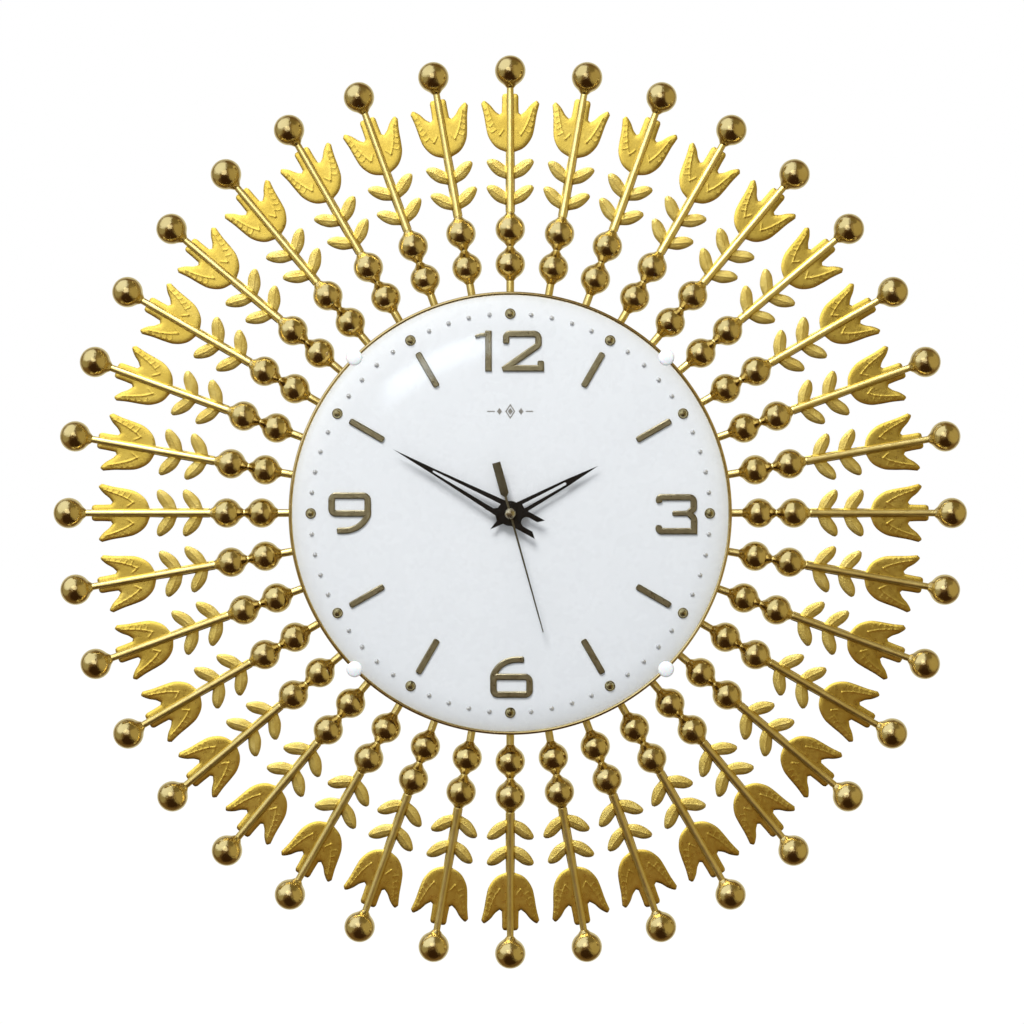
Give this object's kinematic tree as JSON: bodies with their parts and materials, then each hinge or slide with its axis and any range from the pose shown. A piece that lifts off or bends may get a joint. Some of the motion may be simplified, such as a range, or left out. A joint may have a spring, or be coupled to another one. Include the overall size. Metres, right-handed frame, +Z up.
{
  "type": "sunburst wall clock",
  "caption": "Round quartz wall clock with a glazed white dial and radiating gilt rods that carry polished balls and stamped leaf sprigs.",
  "frame": {"origin": "centre of the overall bounding box, on the hand axis, half way between the wall plane and the top of the glass dome", "axes": "+Z up towards 12 o'clock, +X towards 3 o'clock as the viewer sees it, +Y along the hand axis into the wall; the dial faces -Y"},
  "size_m": [0.6294, 0.038, 0.6294],
  "materials": {
    "gold_paint": "satin gilt paint over steel",
    "gold_plate": "polished gold plating",
    "white_enamel": "gloss cool white",
    "clear_glass": "clear polished glass",
    "black_paint": "satin black paint",
    "bronze": "dark bronze plating",
    "black_plastic": "fine-textured black moulding",
    "white_plastic": "natural white acetal",
    "brass": "turned brass",
    "steel": "rolled steel",
    "copper": "enamelled copper winding",
    "board_green": "green solder mask",
    "battery_sleeve": "printed shrink sleeve without lettering"
  },
  "bodies": {
    "clock_body": {"ray_01": "gold_paint", "ray_02": "gold_paint", "ray_03": "gold_paint", "ray_04": "gold_paint", "ray_05": "gold_paint", "ray_06": "gold_paint", "ray_07": "gold_paint", "ray_08": "gold_paint", "ray_09": "gold_paint", "ray_10": "gold_paint", "ray_11": "gold_paint", "ray_12": "gold_paint", "ray_13": "gold_paint", "ray_14": "gold_paint", "ray_15": "gold_paint", "ray_16": "gold_paint", "ray_17": "gold_paint", "ray_18": "gold_paint", "ray_19": "gold_paint", "ray_20": "gold_paint", "ray_21": "gold_paint", "ray_22": "gold_paint", "ray_23": "gold_paint", "ray_24": "gold_paint", "ray_25": "gold_paint", "ray_26": "gold_paint", "ray_27": "gold_paint", "ray_28": "gold_paint", "ray_29": "gold_paint", "ray_30": "gold_paint", "ray_31": "gold_paint", "ray_32": "gold_paint", "ray_33": "gold_paint", "ray_34": "gold_paint", "ray_35": "gold_paint", "ray_36": "gold_paint", "frame_ring": "gold_paint", "hanger": "steel", "bezel_ring": "gold_plate", "glass_lens": "clear_glass", "dial_plate": "white_enamel", "movement_case": "black_plastic", "movement_cover": "black_plastic", "fixing_nut": "brass", "battery": "battery_sleeve", "stator": "steel", "coil": "copper", "circuit_board": "board_green"},
    "minute_hand_assembly": {"minute_hand": "black_paint", "minute_arbor": "brass"},
    "hour_hand_assembly": {"hour_hand": "black_paint", "hour_wheel": "brass"},
    "setting_wheel_assembly": {"minute_wheel": "white_plastic", "setting_knob": "black_plastic"},
    "second_hand_assembly": {"second_hand": "bronze", "seconds_wheel": "brass"},
    "centre_wheel_assembly": {"centre_wheel": "brass"},
    "third_wheel_assembly": {"third_wheel": "white_plastic"},
    "intermediate_wheel_assembly": {"intermediate_wheel": "white_plastic"},
    "rotor_assembly": {"rotor": "white_plastic"}
  },
  "joints": [
    {"name": "minute_hand_spin", "type": "hinge", "parent": "clock_body", "child": "minute_hand_assembly", "pos_m": [0, -0.0105, 0], "axis": [0, 1, 0], "continuous": true},
    {"name": "hour_hand_spin", "type": "hinge", "parent": "clock_body", "child": "hour_hand_assembly", "pos_m": [0, -0.0088, 0], "axis": [0, 1, 0], "continuous": true},
    {"name": "setting_knob_spin", "type": "hinge", "parent": "clock_body", "child": "setting_wheel_assembly", "pos_m": [0.00273, 0.009, 0.0102], "axis": [0, 1, 0], "continuous": true},
    {"name": "second_hand_spin", "type": "hinge", "parent": "clock_body", "child": "second_hand_assembly", "pos_m": [0, -0.012, 0], "axis": [0, 1, 0], "continuous": true},
    {"name": "centre_wheel_spin", "type": "hinge", "parent": "clock_body", "child": "centre_wheel_assembly", "pos_m": [0, 0.0066, 0], "axis": [0, 1, 0], "continuous": true},
    {"name": "third_wheel_spin", "type": "hinge", "parent": "clock_body", "child": "third_wheel_assembly", "pos_m": [0.0102, 0.009, 0], "axis": [0, 1, 0], "continuous": true},
    {"name": "intermediate_wheel_spin", "type": "hinge", "parent": "clock_body", "child": "intermediate_wheel_assembly", "pos_m": [-0.0084, 0.0091, 0], "axis": [0, 1, 0], "continuous": true},
    {"name": "rotor_spin", "type": "hinge", "parent": "clock_body", "child": "rotor_assembly", "pos_m": [-0.0138, 0.004, 0], "axis": [0, 1, 0], "continuous": true}
  ],
  "couplings": [
    {"joint": "hour_hand_spin", "follows": "minute_hand_spin", "ratio": 0.083333},
    {"joint": "setting_knob_spin", "follows": "minute_hand_spin", "ratio": -0.33333},
    {"joint": "centre_wheel_spin", "follows": "second_hand_spin", "ratio": 0.016667},
    {"joint": "third_wheel_spin", "follows": "second_hand_spin", "ratio": -0.13333},
    {"joint": "intermediate_wheel_spin", "follows": "second_hand_spin", "ratio": -6},
    {"joint": "rotor_spin", "follows": "second_hand_spin", "ratio": 30}
  ]
}
